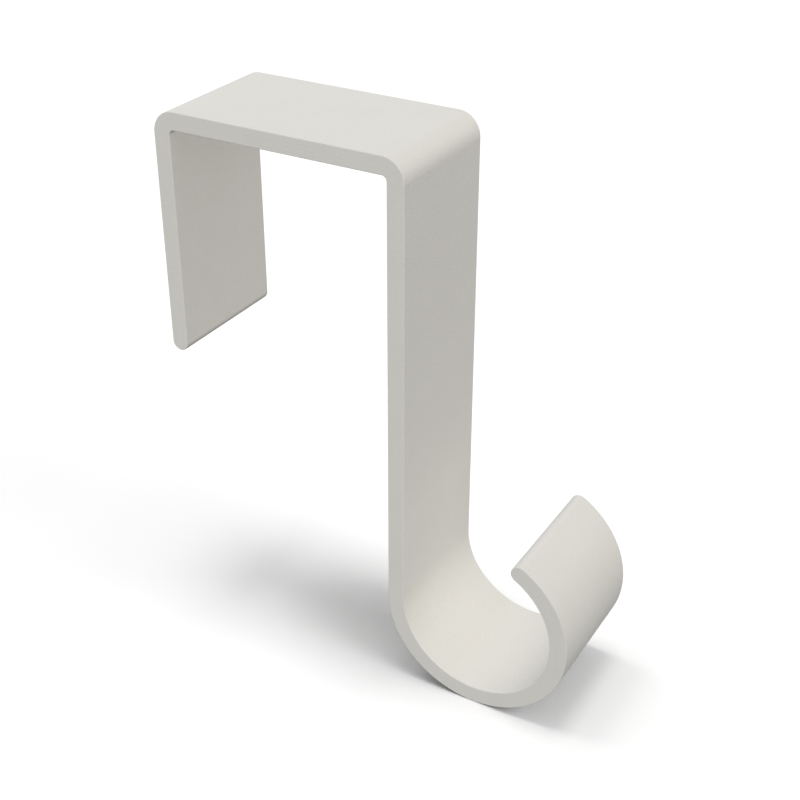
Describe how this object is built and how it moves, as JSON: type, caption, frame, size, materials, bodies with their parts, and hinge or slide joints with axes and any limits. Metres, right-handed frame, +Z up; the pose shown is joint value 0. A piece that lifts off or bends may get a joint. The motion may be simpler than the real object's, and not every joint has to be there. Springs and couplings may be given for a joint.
{
  "type": "over-door hook",
  "caption": "Flat moulded strip bent astride a door's top edge, with a short leg behind the door and a long leg in front that curls up into a round open hook.",
  "frame": {"origin": "middle of the seat, the flat underside that rests on the door's top edge", "axes": "+Z up, +X out of the door's face towards the hook, +Y along the door's top edge"},
  "size_m": [0.0796, 0.025, 0.1002],
  "materials": {
    "moulded_plastic": "matte warm off-white, coloured through"
  },
  "bodies": {
    "root": {"door_hook": "moulded_plastic"}
  },
  "joints": []
}
